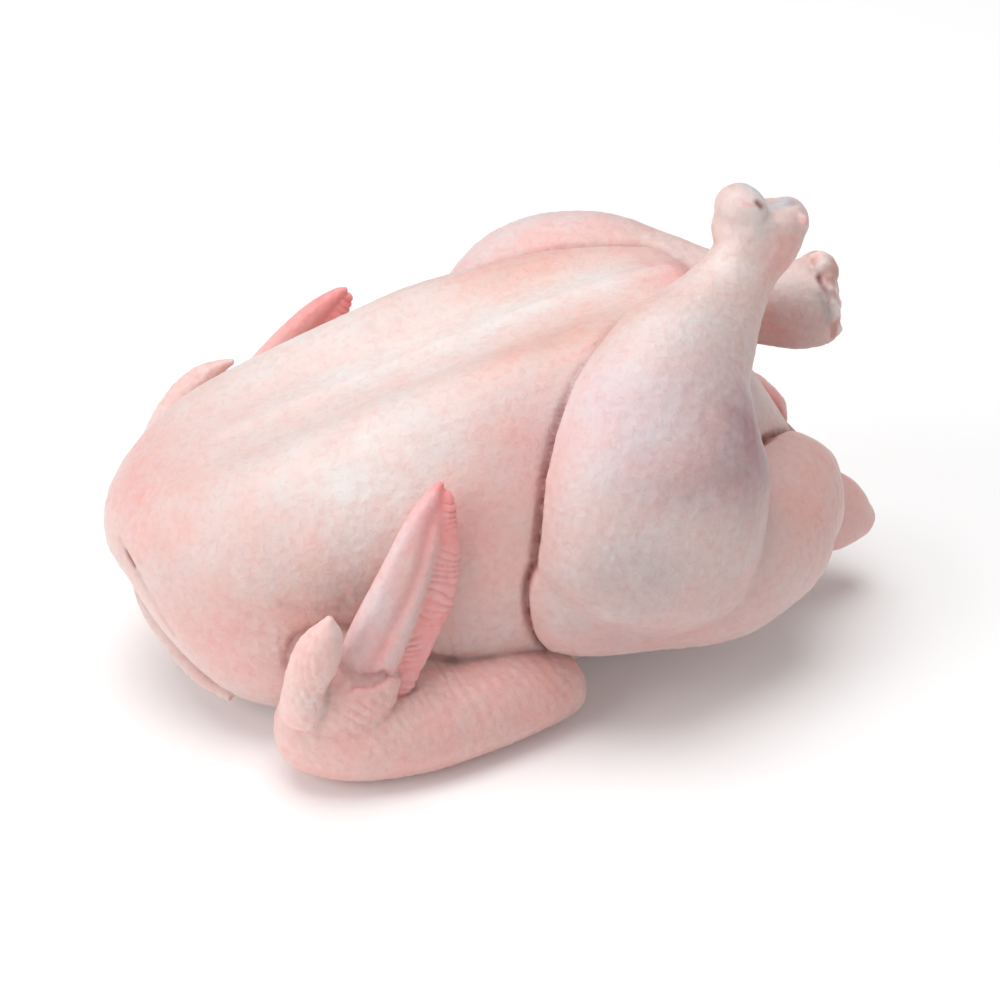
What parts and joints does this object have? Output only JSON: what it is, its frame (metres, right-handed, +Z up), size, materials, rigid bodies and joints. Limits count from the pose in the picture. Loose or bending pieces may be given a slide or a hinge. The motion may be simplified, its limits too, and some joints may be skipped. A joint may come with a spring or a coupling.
{
  "type": "whole raw chicken",
  "caption": "Whole raw chicken on its back, breast up, legs folded with crossed hocks, wings tucked at the sides, short tail and an open vent.",
  "frame": {"origin": "on the surface the bird rests on, below the middle of its bounding box", "axes": "+X from the neck end to the tail, -Y towards the bird's right side, +Z up through the breast"},
  "size_m": [0.2488, 0.1788, 0.1522],
  "materials": {
    "skin": "moist cream-pink poultry skin, half matt"
  },
  "bodies": {
    "root": {"chicken": "skin"}
  },
  "joints": []
}
